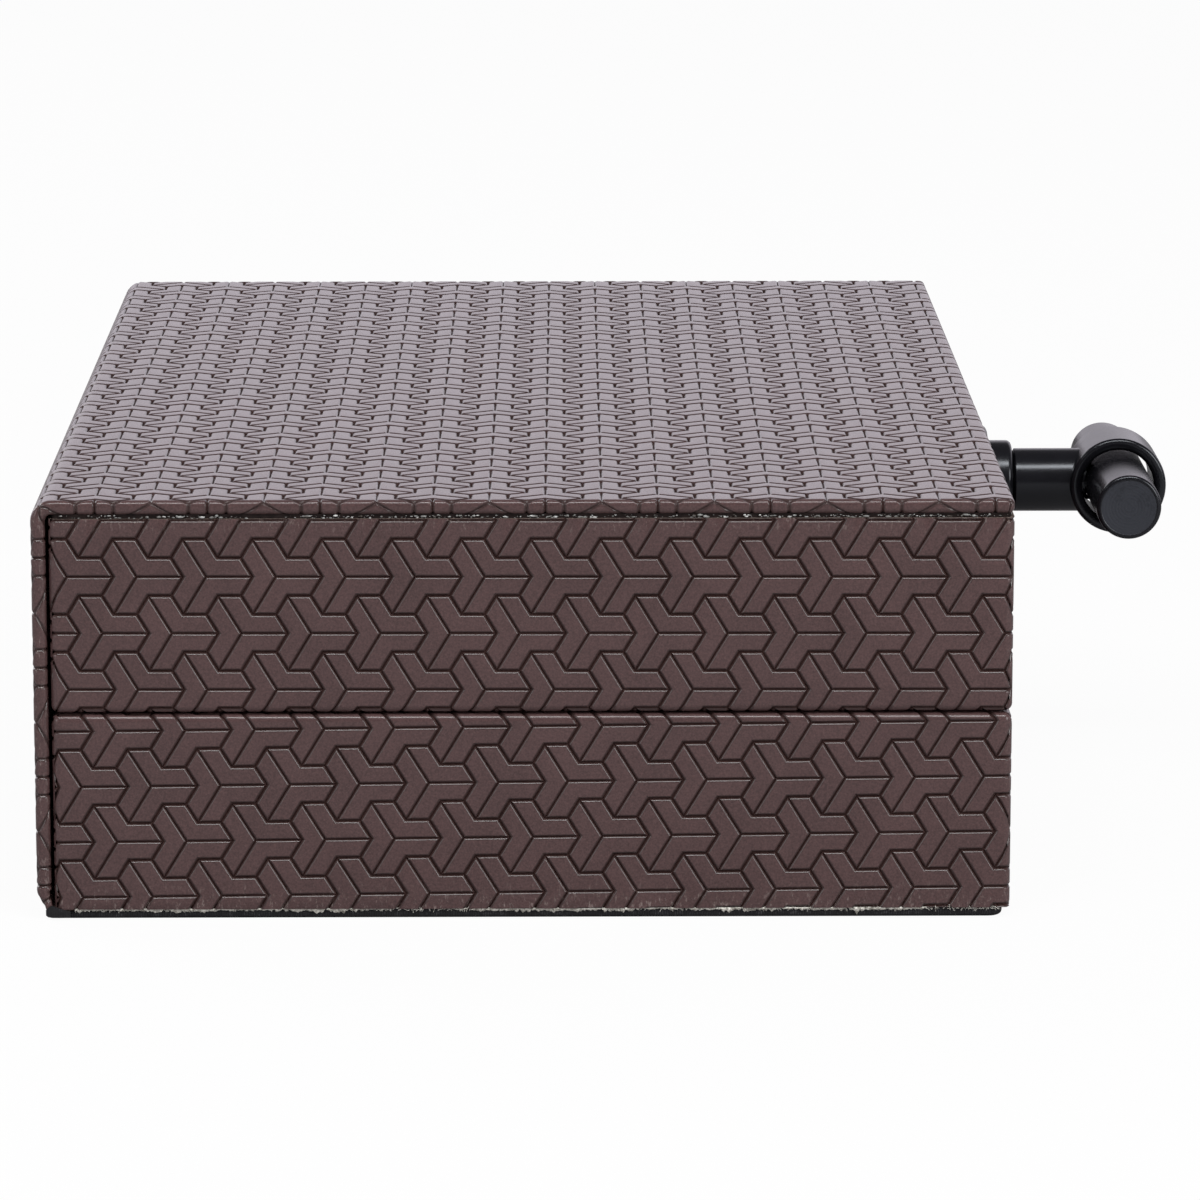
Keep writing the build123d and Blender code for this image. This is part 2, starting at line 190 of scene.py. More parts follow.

# %% Finish of the embossed leather
# The groove and lip colours are partly dye pooled in the grooves and partly painted shade of the grooves and lips.
GROOVE_DYE_AND_SHADE, LIP_DYE_AND_SHADE, PLATE, SCUFFED = (62, 44, 41), (62, 45, 43), (84, 63, 62), (178, 164, 157)
TRAY_MIDDLE = 1.8 * MM
WORN_SIDE, WORN_END = (96.6 * MM, 98.2 * MM), (148.4 * MM, 150.0 * MM)
WORN_FOOT, WORN_SEAM, SEAM_STOP = (8.5 * MM, 2.5 * MM), (80.0 * MM, 83.2 * MM), (84.2 * MM, 83.8 * MM)

chocolate, shader, place = new_finish(
    "chocolate_leather", {"Specular IOR Level": 0.1, "Coat IOR": 1.46, "Coat Roughness": 0.2}
)
relief = place.node("Attribute", {"attribute_name": "relief"}, output=2)
cloud = speckle(place, 60.0, 3.0, 0.6)
mottle = speckle(place, 2400.0, 4.0, 0.7)
grain = speckle(place, 5200.0, 3.0, 0.65)
pores = place.node("TexVoronoi", {"feature": "SMOOTH_F1"}, {"Vector": place, "Scale": 2600.0, "Smoothness": 0.4})
# Darker brown below the plates' tops: partly pooled dye, partly painted shade in the grooves and on the lips.
dye_and_shade = dyed(relief, (0.0, *GROOVE_DYE_AND_SHADE), (0.5, *GROOVE_DYE_AND_SHADE), (0.6, *LIP_DYE_AND_SHADE), (0.88, *LIP_DYE_AND_SHADE), (0.99, *PLATE))
uneven = 0.5 * cloud + 1.7 * mottle - 0.1 * pores - 0.05
grey = place.node("CombineColor", None, {"Red": uneven, "Green": uneven, "Blue": uneven})
tinted = place.node("Mix", {"data_type": "RGBA", "blend_type": "MULTIPLY"}, {0: 1.0, 6: dye_and_shade, 7: grey}, output=2)
side, end, level = (place.node("SeparateXYZ", None, {"Vector": place}, output=k) for k in range(3))
from_middle, from_centre = (
    place.node("Math", {"operation": "ABSOLUTE"}, {0: value}) for value in (side - TRAY_MIDDLE, end)
)
corner = ramp(from_middle, *WORN_SIDE) * ramp(from_centre, *WORN_END)
seam = ramp(level, *WORN_SEAM) * ramp(level, *SEAM_STOP)
rubbed = place.node("Clamp", None, {"Value": 0.7 * corner + ramp(level, *WORN_FOOT) + 0.7 * seam})
drawn_down = place.node("VectorMath", {"operation": "MULTIPLY"}, {0: place, 1: (1, 1, 0.4)})
scuffs = 0.75 * rubbed * ramp(speckle(drawn_down, 1300.0, 5.0, 0.75), 0.56, 0.74)
feed(
    shader,
    Base_Color=place.node("Mix", {"data_type": "RGBA"}, {0: scuffs, 6: tinted, 7: linear(*SCUFFED)}, output=2),
    Roughness=0.62 - 0.2 * relief + 0.1 * mottle,
    Coat_Weight=ramp(relief, 0.5, 0.6) * (1.1 - 0.25 * mottle),
    Normal=bumps(0.6 * grain + 0.5 * pores + 0.5 * mottle, 0.32, 0.00012),
)
print("finish", chocolate.name)

# %% [markdown]
# ## One tile of the embossing
# The traditional pattern is a three-armed tile made of three bent plates. Every arm's point fits the notch
# of the next tile, so copies fill the plane. One plate is drawn as six points, turned twice, and squeezed a
# little, because the leather's rows are closer than in the ideal pattern. Insetting the whole tile first
# gives the deep outline, and insetting each plate alone gives the shallower lines inside it. The edges that climb
# at a plate's corners are marked sharp, so that each lip shines along its whole length.

# %% Draw, turn and inset one tile
TILE = 14.23
ROW = 11.65
OUTLINE_RING = (0.08, 0.12)
PLATE_RINGS = ((0.06, 0.02), (0.05, 0.20), (0.28, 0.22), (0.22, 0.08))
RELIEF = OUTLINE_RING[1] + sum(rise for width, rise in PLATE_RINGS)
PLATE_TOP = 0.12


def points_of(parts):
    """The vertices among the parts that an operator gives back."""
    return [part for part in parts if isinstance(part, bmesh.types.BMVert)]


def move(bm, x, y, z, parts=None):
    """Moves some parts of a mesh, or all of it."""
    bmesh.ops.translate(bm, vec=(x, y, z), verts=points_of(parts) if parts else bm.verts)


def draw_tile():
    """One embossed tile about the origin, its straight arm along x, groove floors at z = 0."""
    half_arm = 1 / (2 * math.sqrt(3))
    corners = (
        (0, 0), (2 / 3, 0), (1 / 2, half_arm), (1 / 6, half_arm), (0, 2 * half_arm), (-1 / 3, 2 * half_arm)
    )
    bm = bmesh.new()
    plate = bm.faces.new([bm.verts.new((TILE * x, TILE * y, 0)) for x, y in corners])
    first = [plate, *plate.edges, *plate.verts]
    for turn in (1, 2):
        copied = points_of(bmesh.ops.duplicate(bm, geom=first)["geom"])
        bmesh.ops.rotate(bm, matrix=Matrix.Rotation(turn * math.tau / 3, 3, "Z"), verts=copied)
    bmesh.ops.remove_doubles(bm, verts=bm.verts, dist=0.01)
    bmesh.ops.scale(bm, vec=(1, ROW / (TILE * math.sqrt(3) / 2), 1), verts=bm.verts)
    plates = bm.faces[:]
    bmesh.ops.inset_region(
        bm, faces=plates, use_boundary=True, use_even_offset=True,
        thickness=OUTLINE_RING[0], depth=OUTLINE_RING[1],
    )
    for width, rise in PLATE_RINGS:
        bmesh.ops.inset_individual(bm, faces=plates, use_even_offset=True, thickness=width, depth=rise)
    for edge in bm.edges:
        edge.smooth = abs(edge.verts[0].co.z - edge.verts[1].co.z) < 1e-4
    return bm


tile = draw_tile()
print("tile", len(tile.faces), "faces, relief", round(max(v.co.z for v in tile.verts), 3), "mm")

# %% [markdown]
# ## A flat piece of embossed leather
# Before it is glued, the leather is flat, so the sheets are made flat too: x runs along the straight arms,
# y across the rows, z is the relief. The tile is copied along a row, the row is copied with half a step,
# and the sheet is cut to size with bisecting planes. Extra cuts go where the sheet will be bent.


# %% Copy the tile and cut a sheet
def parts_of(bm):
    """All of a mesh, as the operators take it."""
    return [*bm.verts, *bm.edges, *bm.faces]


def repeat(bm, geom, count, step):
    """Adds copies of a patch, each one step on from the last, and returns them all."""
    everything = list(geom)
    for k in range(1, count):
        copy = bmesh.ops.duplicate(bm, geom=geom)["geom"]
        move(bm, k * step[0], k * step[1], 0, copy)
        everything += copy
    return everything


def cut(bm, middle, across, keep=0):
    """Cuts a mesh with a plane; keep is the side that stays, -1 behind it, 1 in front, 0 both."""
    bmesh.ops.bisect_plane(
        bm, geom=parts_of(bm), dist=1e-5, plane_co=middle, plane_no=across,
        clear_outer=keep < 0, clear_inner=keep > 0,
    )


def slice_sheet(bm, axis, places, keep=0):
    """Cuts a mesh at places along one axis."""
    for place in places:
        middle, across = [0, 0, 0], [0, 0, 0]
        middle[axis], across[axis] = place, 1
        cut(bm, middle, across, keep)


def trim(bm, axis, low, high):
    """Keeps what lies between two places along one axis."""
    slice_sheet(bm, axis, [low], keep=1)
    slice_sheet(bm, axis, [high], keep=-1)


def flat_leather(x_from, x_to, y_from, y_to, x_tile, y_tile, stretch=(1, 1), lean=0.0):
    """A flat embossed sheet between two corners, with one tile centred at (x_tile, y_tile).

    Stretch is how much the pattern grew along and across its rows; lean is how far the rows climb per millimetre."""
    bm = tile.copy()
    step_x, step_y = TILE * stretch[0], 2 * ROW * stretch[1]
    climb = sorted((lean * (x_from - x_tile), lean * (x_to - x_tile)))
    columns = math.ceil((x_to - x_from) / step_x) + 3
    row_pairs = math.ceil((y_to - y_from + climb[1] - climb[0]) / step_y) + 2
    row = repeat(bm, parts_of(bm), columns, (TILE, 0))
    pair = repeat(bm, row, 2, (TILE / 2, ROW))
    repeat(bm, pair, row_pairs, (0, 2 * ROW))
    first_column = math.floor((x_from - x_tile) / step_x) - 1
    first_pair = math.floor((y_from - y_tile - climb[1]) / step_y)
    move(bm, TILE * first_column, 2 * ROW * first_pair, 0)
    bmesh.ops.remove_doubles(bm, verts=bm.verts, dist=0.005)
    along_row, across_row = stretch
    askew = Matrix((
        (along_row, 0, 0, x_tile), (lean * along_row, across_row, 0, y_tile), (0, 0, 1, 0), (0, 0, 0, 1)
    ))
    bmesh.ops.transform(bm, matrix=askew, verts=bm.verts)
    relief = bm.verts.layers.float.new("relief")
    for vert in bm.verts:
        vert[relief] = vert.co.z / RELIEF
        vert.co.z += PLATE_TOP - RELIEF
    trim(bm, 0, x_from, x_to)
    trim(bm, 1, y_from, y_to)
    return bm


trial = flat_leather(0, 100, 0, 100, 3, 5)
print("trial sheet", len(trial.faces), "faces")
trial.free()

# %% [markdown]
# ## Bending a sheet
# Leather that is glued over an edge keeps its length: it runs straight, turns round the edge, and runs on.
# So a bent sheet is described as a walk of straight runs and round turns, and any point of the flat sheet
# is found by how far along the walk it lies. The relief then stands out from the sheet at that place.


# %% Follow a bent sheet
def along(runs, distance):
    """Place and facing direction on a sheet that bends the same way at each turn, in its own (run, rise) plane.

    Runs are (length, turn) pairs; the sheet starts along (1, 0) and faces (0, 1)."""
    run = rise = heading = 0.0
    for length, turn in runs:
        step = min(distance, length)
        angle = turn * step / length
        if turn:
            radius = length / turn
            forward, sink = radius * math.sin(angle), radius * (1 - math.cos(angle))
        else:
            forward, sink = step, 0.0
        run += forward * math.cos(heading) - sink * math.sin(heading)
        rise -= forward * math.sin(heading) + sink * math.cos(heading)
        heading += angle
        distance -= step
        if distance <= 0:
            break
    return run, rise, math.sin(heading), math.cos(heading)


def turn_round(radius, degrees=90):
    """A round turn as a run."""
    angle = math.radians(degrees)
    return radius * angle, angle


def length_of(runs):
    """Length of a whole walk."""
    return sum(length for length, turn in runs)


def cuts_in(runs, steps=5):
    """Distances at which a sheet needs cuts: both ends of every turn, and a few places inside it."""
    places, reached = [], 0.0
    for length, turn in runs:
        if turn:
            count = max(2, math.ceil(steps * turn / math.radians(90)))
            places += [reached + length * k / count for k in range(count + 1)]
        reached += length
    return places


print("quarter turn of 2 mm:", [round(c, 3) for c in along([(1, 0), turn_round(2)], 1 + math.pi)])

# %% [markdown]
# ## The cover: lid, bend, spine and crease
# One sheet does all four. It starts at the lid's free edge, crosses the lid, turns down at the spine, and at the
# foot falls in under the lower tray. Its ends are turned over the boards at the front and back. It is split where
# the box hinges, so that each part can move with its own body. Towards the front the leather was pressed together,
# so the pattern closes up there. Over the edges it was stretched, so the relief is shallower.

# %% Sizes of the cover and its walk
HALF_WIDTH, HALF_LENGTH, TOP = 100.0, 150.0, 87.5
CORNER = 1.6
LID_THICK, LID_EDGE = 2.7, 1.0
SPINE_THICK, SPINE_EDGE = 2.75, 1.1
BEND = 4.2
CREASE_TURN, KNEE_TURN, CREASE_RUN = 3.0, 0.9, 3.07
FOOT = 6.2
LEATHER = 0.6
TUCK, THINNED = 3.0, 0.8

bend_start = HALF_WIDTH - BEND
bend_end = bend_start + turn_round(BEND)[0]
spine_end = bend_end + TOP - BEND - FOOT
cover_walk = [
    (bend_start, 0), turn_round(BEND), (spine_end - bend_end, 0),
    turn_round(CREASE_TURN, 30), (CREASE_RUN, 0), turn_round(KNEE_TURN, 60), (2 * TUCK, 0),
]
knee_end = length_of(cover_walk[:-1])
cover_end = knee_end + TUCK
print("bend, spine and cover end at", [round(c, 2) for c in (bend_end, spine_end, cover_end)])


# %% Lay a point of the flat sheet on the cover
def edge_walk(radius, thick, flap):
    """Walk over a board's edge and back under it."""
    return [turn_round(radius), (thick - 2 * radius, 0), turn_round(radius), (flap, 0)]


def over_edge(reach, radius, thick):
    """Where a sheet lies that runs past the start of an edge: outward, depth, and how it faces."""
    if reach <= 0:
        return reach, 0.0, 0.0, 1.0
    run, rise, face_run, face_rise = along(edge_walk(radius, thick, 20.0), reach)
    return run, -rise, face_run, face_rise


def share_of(value, start, end):
    """How far a value is from start to end, from 0 to 1."""
    return min(max((value - start) / (end - start), 0), 1)


def cover_edge(walk):
    """Thickness of the covered board at a place along the walk, and the roundness of its edge."""
    if walk > spine_end:
        thick = SPINE_THICK + share_of(walk, spine_end, knee_end + THINNED) * (LEATHER - SPINE_THICK)
        return thick, 0.4 * thick
    share = share_of(walk, bend_start, bend_end)
    return LID_THICK + share * (SPINE_THICK - LID_THICK), LID_EDGE + share * (SPINE_EDGE - LID_EDGE)


def fan(past_x, past_y):
    """Turns a place on nested squares into one on nested quarter circles: its radius and its angle."""
    reach = max(past_x, past_y)
    angle = math.pi / 4 * min(past_x, past_y) / reach
    return reach, angle if past_x >= past_y else math.pi / 2 - angle


def lay_on_cover(flat):
    """Moves one flat point (along the spine, along the walk, relief) to its place on the box."""
    length, walk, relief = flat
    side = -1 if length < 0 else 1
    thick, radius = cover_edge(walk)
    past_side = -walk - (HALF_WIDTH - CORNER)
    past_end = abs(length) - (HALF_LENGTH - CORNER)
    if past_side > 0 and walk < bend_start:
        reach, angle = fan(past_side, max(past_end, 0))
        out, depth, face_out, face_up = over_edge(reach - CORNER + LID_EDGE, LID_EDGE, LID_THICK)
        spread = CORNER - LID_EDGE + out + relief * face_out
        base_y = min(abs(length), HALF_LENGTH - CORNER)
        return Vector((
            HALF_WIDTH - CORNER + spread * math.cos(angle),
            side * (base_y + spread * math.sin(angle)),
            TOP - depth + relief * face_up,
        ))
    out, depth, face_out, face_up = over_edge(abs(length) - HALF_LENGTH + radius, radius, thick)
    run, rise, face_run, face_rise = along(cover_walk, walk)
    stand = relief * face_up - depth
    return Vector((
        -(run + stand * face_run),
        side * (HALF_LENGTH - radius + out + relief * face_out),
        TOP + rise + stand * face_rise,
    ))


print("middle of the spine:", [round(c, 2) for c in lay_on_cover((0, (bend_end + spine_end) / 2, 0))])


# %% [markdown]
# Weighted normals keep the plates flat to the eye while their lips stay round, so every finished leather
# sheet gets that modifier. A piece's own mesh holds its place, in metres, and its object stays at the origin.


# %% Turn a mesh into a finished piece
def finish_piece(bm, name, *materials, weighted=False, smooth=True):
    """Scales a mesh drawn in millimetres to metres and makes it an object at the origin."""
    bmesh.ops.scale(bm, vec=(MM, MM, MM), verts=bm.verts)
    for face in bm.faces:
        face.smooth = smooth
    mesh = bpy.data.meshes.new(name)
    bm.to_mesh(mesh)
    bm.free()
    for material in materials:
        mesh.materials.append(material)
    piece = bpy.data.objects.new(name, mesh)
    bpy.context.scene.collection.objects.link(piece)
    if weighted:
        normals = piece.modifiers.new("plate_normals", "WEIGHTED_NORMAL")
        normals.mode = "FACE_AREA"
        normals.weight = 50
        normals.keep_sharp = True
    print(name, len(mesh.polygons), "faces")
    return piece


def lay(bm, place):
    """Moves every point of a flat sheet with a placing function."""
    for vert in bm.verts:
        vert.co = place(vert.co)


def absorb(bm, part):
    """Moves all of a small mesh into a larger one."""
    mesh = bpy.data.meshes.new("part")
    part.to_mesh(mesh)
    part.free()
    bm.from_mesh(mesh)
    bpy.data.meshes.remove(mesh)


# %% Cut the cover sheet and lay its four parts
LID_FLAP, SPINE_FLAP = 0.5, 8.0
COVER_TILE, COVER_STRETCH, COVER_LEAN = (-154.4, 6.9), (0.988, 0.982), -0.005
GATHER_FROM, GATHER = 95.0, 4.5
EDGE_FADE, FADED_AT = 0.5, -0.5

lid_edge = edge_walk(LID_EDGE, LID_THICK, LID_FLAP)
lid_reach = HALF_LENGTH - LID_EDGE + length_of(lid_edge)
side_reach = HALF_WIDTH - LID_EDGE + length_of(lid_edge)
spine_reach = HALF_LENGTH - SPINE_EDGE + length_of(edge_walk(SPINE_EDGE, SPINE_THICK, SPINE_FLAP))
cover = flat_leather(
    -spine_reach - GATHER, spine_reach, -side_reach, cover_end, *COVER_TILE, COVER_STRETCH, COVER_LEAN
)
cover_relief = cover.verts.layers.float["relief"]
for vert in cover.verts:
    vert.co.x += GATHER * share_of(-vert.co.x, GATHER_FROM, HALF_LENGTH - LID_EDGE + GATHER)
    past_edge = max(abs(vert.co.x) - HALF_LENGTH, -vert.co.y - HALF_WIDTH)
    full = 1 - EDGE_FADE * share_of(past_edge, -CORNER, FADED_AT)
    vert.co.z = PLATE_TOP - full * (PLATE_TOP - vert.co.z)
    vert[cover_relief] = 1 - full * (1 - vert[cover_relief])


def edge_cuts(half):
    """Where the sheet needs cuts to pass over an edge of the lid, as distances from the middle."""
    return [half - CORNER] + [half - LID_EDGE + c for c in cuts_in(lid_edge)]


slice_sheet(cover, 0, [end * c for c in edge_cuts(HALF_LENGTH) for end in (-1, 1)])


def cover_part(name, walk_from, walk_to, reach, cuts):
    """One part of the cover, cut from the flat sheet and laid in place."""
    bm = cover.copy()
    trim(bm, 1, walk_from, walk_to)
    trim(bm, 0, -reach, reach)
    slice_sheet(bm, 1, cuts)
    lay(bm, lay_on_cover)
    piece = finish_piece(bm, name, chocolate, weighted=True)
    return piece


SPLIT_LID, SPLIT_BEND, SPLIT_SPINE = bend_start - 1.0, bend_end + 1.0, spine_end - 1.0
side_cuts = [-c for c in edge_cuts(HALF_WIDTH)]
walk_cuts = cuts_in(cover_walk, 8)
lid_leather = cover_part("lid_leather", -side_reach, SPLIT_LID, lid_reach, side_cuts)
lid_hinge_leather = cover_part("lid_hinge_leather", SPLIT_LID, SPLIT_BEND, spine_reach, walk_cuts)
spine_leather = cover_part("spine_leather", SPLIT_BEND, SPLIT_SPINE, spine_reach, [])
base_hinge_leather = cover_part("base_hinge_leather", SPLIT_SPINE, cover_end, spine_reach, walk_cuts)
cover.free()

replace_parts(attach(lid_leather, "lid"), "top_skin")
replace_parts(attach(spine_leather, "spine"), "spine_skin")
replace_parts(lid_hinge_leather, "lid_hinge_strip")
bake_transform(lid_hinge_leather, "spine", "lid", (-99.4 * MM, 0, 83.9 * MM), (-96.4 * MM, 0, 86.9 * MM))
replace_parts(base_hinge_leather, "base_hinge_strip")
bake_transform(base_hinge_leather, "base", "spine", (-98.0 * MM, 0, 2.2 * MM), (-99.0 * MM, 0, 5.9 * MM))

# %% [markdown]
# ## Leather bands of the two trays
# Each tray has a band of the same leather round its walls, turned over the rim and glued down inside.
# The four sides are cut from one running strip, so the pattern goes on round the corners. Each side is laid
# straight and mitred at the rim, and then the sharp corners are rounded by drawing squares in to circles.

# %% Sizes of the bands
TRAY_LEFT = -96.4
RIM_TURN, RIM_INNER_TURN, RIM_WIDTH, TURN_IN = 1.4, 0.9, 7.2, 8.0
tray_width = HALF_WIDTH - TRAY_LEFT
tray_length = 2 * HALF_LENGTH
corner_marks = (
    ((TRAY_LEFT, -HALF_LENGTH), 0, tray_width, TRAY_LEFT),
    ((HALF_WIDTH, -HALF_LENGTH), 90, tray_length, HALF_WIDTH),
    ((HALF_WIDTH, HALF_LENGTH), 180, tray_width, HALF_WIDTH + tray_length),
    ((TRAY_LEFT, HALF_LENGTH), 270, tray_length, HALF_WIDTH + tray_length + tray_width),
)


def band_walk(wall):
    """Walk of a band from its raw edge up the wall, over the rim and down inside."""
    flat_rim = RIM_WIDTH - RIM_TURN - RIM_INNER_TURN
    return [
        (wall, 0), turn_round(RIM_TURN), (flat_rim, 0), turn_round(RIM_INNER_TURN), (TURN_IN - RIM_INNER_TURN, 0)
    ]


def round_corners(bm):
    """Rounds the four upright corners: near each, nested squares become nested quarter circles."""
    for vert in bm.verts:
        middle_x = HALF_WIDTH - CORNER if vert.co.x > 0 else TRAY_LEFT + CORNER
        side_x = 1 if vert.co.x > 0 else -1
        side_y = 1 if vert.co.y > 0 else -1
        past_x = (vert.co.x - middle_x) * side_x
        past_y = vert.co.y * side_y - (HALF_LENGTH - CORNER)
        if past_x > 0 and past_y > 0:
            reach, angle = fan(past_x, past_y)
            vert.co.x = middle_x + side_x * reach * math.cos(angle)
            vert.co.y = side_y * (HALF_LENGTH - CORNER + reach * math.sin(angle))


# %% Raw edge of the leather
raw_leather, shader, place = new_finish("raw_leather_edge", {"Roughness": 0.9})
torn = speckle(place, 1800.0, 4.0, 0.7)
feed(
    shader,
    Base_Color=dyed(torn, (0.35, 58, 44, 40), (0.6, 112, 98, 88), (0.75, 176, 168, 156)),
    Normal=bumps(torn, 0.6, 0.0002),
)
print("finish", raw_leather.name)


# %% Cut, lay and join the sides of a band
def tray_band(name, raw_edge, way, rim, x_tile, z_tile, stretch, lean):
    """Leather band of one tray; way is 1 where its rim is up and -1 where it is down."""
    walk = band_walk((rim - raw_edge) * way - RIM_TURN)
    low, high = sorted((raw_edge, raw_edge + way * length_of(walk)))
    rounding = [CORNER * k / 4 for k in range(5)]
    band = bmesh.new()
    for corner, turn, side_length, start in corner_marks:
        bm = flat_leather(start - 1, start + side_length + 1, low, high, x_tile, z_tile, stretch, lean)
        slice_sheet(bm, 1, [raw_edge + way * c for c in cuts_in(walk)])
        slice_sheet(bm, 0, [start + c for c in rounding] + [start + side_length - c for c in rounding])
        raw = [e for e in bm.edges if all(abs(v.co.y - raw_edge) < 1e-3 for v in e.verts)]
        for part in bmesh.ops.extrude_edge_only(bm, edges=raw)["geom"]:
            if isinstance(part, bmesh.types.BMVert):
                part.co.z = -LEATHER
            elif isinstance(part, bmesh.types.BMFace):
                part.material_index = 1

        def lay_on_wall(flat, walk=walk, start=start):
            up, out, face_up, face_out = along(walk, (flat.y - raw_edge) * way)
            return Vector((flat.x - start, -(out + flat.z * face_out), raw_edge + way * (up + flat.z * face_up)))

        lay(bm, lay_on_wall)
        cut(bm, (0, 0, 0), (-1, 1, 0), keep=-1)
        cut(bm, (side_length, 0, 0), (1, 1, 0), keep=-1)
        bmesh.ops.rotate(bm, matrix=Matrix.Rotation(math.radians(turn), 3, "Z"), verts=bm.verts)
        move(bm, *corner, 0)
        absorb(band, bm)
    bmesh.ops.remove_doubles(band, verts=band.verts, dist=0.002)
    round_corners(band)
    piece = finish_piece(band, name, chocolate, raw_leather, weighted=True)
    return piece


lower_band = tray_band(
    "lower_tray_leather", raw_edge=2.2, way=1, rim=43.0, x_tile=-69.2, z_tile=39.85, stretch=(1, 1), lean=0.0102
)
upper_band = tray_band(
    "upper_tray_leather", raw_edge=83.85, way=-1, rim=43.6, x_tile=-64.5, z_tile=71.85,
    stretch=(0.9955, 1.008), lean=-0.0017,
)
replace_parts(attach(lower_band, "base"), "lower_wrap")
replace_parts(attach(upper_band, "lid"), "upper_wrap")

# %% [markdown]
# ## Lining inside the spine
# The inner faces of the spine and of both hinges are lined with black suede between the turned-in leather.
# The same walk places it, a board's thickness inside the cover, so the lining bends where the cover bends.

# %% Black suede
suede, shader, place = new_finish(
    "black_suede", {"Sheen Weight": 0.35, "Sheen Roughness": 0.45, "Sheen Tint": (0.5, 0.47, 0.47, 1), "IOR": 1.35}
)
nap = speckle(place, 2400.0, 4.0, 0.75)
brushed = place.node("TexNoise", None, {"Vector": place, "Scale": 28.0, "Detail": 3.0, "Distortion": 0.8})
feed(
    shader,
    Base_Color=dyed(0.55 * nap + 0.5 * brushed, (0.3, 24, 22, 22), (0.7, 46, 42, 42)),
    Roughness=0.82 + 0.15 * nap,
    Normal=bumps(nap, 0.5, 0.0003),
)
print("finish", suede.name)


# %% Lining strips of the spine and its hinges
LINING_THICK, GLUE_ROOM = 0.45, 0.02
LINING_REACH = HALF_LENGTH - LEATHER - SPINE_FLAP


def rectangle(outline, height=0):
    """A flat rectangle between two corners."""
    bm = bmesh.new()
    (left, front), (right, back) = outline
    bmesh.ops.create_grid(bm, x_segments=1, y_segments=1, size=0.5)
    bmesh.ops.scale(bm, vec=(right - left, back - front, 1), verts=bm.verts)
    move(bm, (left + right) / 2, (front + back) / 2, height)
    return bm


def inside_lining(name, walk_from, walk_to):
    """A strip of lining on the inner face of the cover, between two places of its walk."""
    bm = rectangle(((-LINING_REACH, walk_from), (LINING_REACH, walk_to)))
    slice_sheet(bm, 1, [c for c in cuts_in(cover_walk, 10) if walk_from < c < walk_to])

    def lay_inside(flat):
        run, rise, face_run, face_rise = along(cover_walk, flat.y)
        depth = cover_edge(flat.y)[0] + GLUE_ROOM
        return Vector((-(run - depth * face_run), flat.x, TOP + rise - depth * face_rise))

    lay(bm, lay_inside)
    bmesh.ops.reverse_faces(bm, faces=bm.faces)
    bmesh.ops.solidify(bm, geom=bm.faces[:], thickness=LINING_THICK)
    piece = finish_piece(bm, name, suede, weighted=True)
    return piece


LINED_BEND = bend_end + 0.5
lid_hinge_lining = inside_lining("lid_hinge_lining", bend_start + 0.1, LINED_BEND)
spine_lining = inside_lining("spine_lining_suede", LINED_BEND, SPLIT_SPINE)
base_hinge_lining = inside_lining("base_hinge_lining", SPLIT_SPINE, knee_end + 0.6)
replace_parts(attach(spine_lining, "spine"), "spine_lining")
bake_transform(lid_hinge_lining, "spine", "lid", (-98.9 * MM, 0, 84.4 * MM), (-97.0 * MM, 0, 86.3 * MM))
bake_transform(base_hinge_lining, "base", "spine", (-98.0 * MM, 0, 2.2 * MM), (-99.0 * MM, 0, 5.9 * MM))

# %% [markdown]
# ## Tray linings
# The floor and the ceiling of the box are suede-covered cards with softly rounded edges. The walls are lined
# from the turned-in leather to the card. Each starts as a rectangle that is inset or extruded, then bevelled.

# %% Cards and wall linings
WELL = ((-89.8, -143.4), (93.4, 143.4))
LINED = ((-88.8, -142.4), (92.4, 142.4))


def thicken(bm, rise):
    """Extrudes all faces upward into a closed body."""
    move(bm, 0, 0, rise, bmesh.ops.extrude_face_region(bm, geom=bm.faces[:])["geom"])
    bmesh.ops.recalc_face_normals(bm, faces=bm.faces)


def bevel(bm, geom, offset, segments, affect="EDGES"):
    """Rounds edges or corners."""
    bmesh.ops.bevel(
        bm, geom=geom, offset=offset, offset_type="OFFSET", segments=segments, profile=0.5, affect=affect,
        material=-1, clamp_overlap=True,
    )


def soften(bm, height, offset, segments=3):
    """Rounds the edges that lie at one height."""
    bevel(bm, [e for e in bm.edges if all(abs(v.co.z - height) < 1e-3 for v in e.verts)], offset, segments)


def wall_frame():
    """A flat frame as wide as the walls' lining is thick."""
    bm = rectangle(WELL)
    inner = bm.faces[:]
    thickness = LINED[0][0] - WELL[0][0]
    bmesh.ops.inset_region(bm, faces=inner, use_boundary=True, use_even_offset=True, thickness=thickness)
    bmesh.ops.delete(bm, geom=inner, context="FACES")
    return bm


def suede_piece(bm, name, low, high, soft_at, edge, node, body):
    """Raises a flat outline into a piece of suede, softened at one height."""
    move(bm, 0, 0, low)
    thicken(bm, high - low)
    soften(bm, soft_at, edge)
    piece = finish_piece(bm, name, suede, weighted=True)
    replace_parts(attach(piece, body), node)


CARD_EDGE, WALL_EDGE = 0.6, 0.35
suede_piece(rectangle(LINED), "floor_suede", 5.2, 6.4, 6.4, CARD_EDGE, "lower_floor_lining", "base")
suede_piece(rectangle(WELL), "ceiling_suede", 83.4, 85.4, 83.4, CARD_EDGE, "ceiling_lining", "lid")
suede_piece(wall_frame(), "lower_wall_suede", 5.2, 35.0, 35.0, WALL_EDGE, "lower_wall_lining", "base")
suede_piece(wall_frame(), "upper_wall_suede", 51.6, 83.4, 51.6, WALL_EDGE, "upper_wall_lining", "lid")

# %% [markdown]
# ## Base pad and hinge tongue
# The box stands on a thin card covered with black cloth, a little smaller than the tray. Its lower edge is worn
# round. The end of the cover is glued between the pad and the tray, so the pad is lower there. At both ends of the
# hinge a tab of the cloth is folded up over the cut leather: an L-shaped section, extruded along the edge.

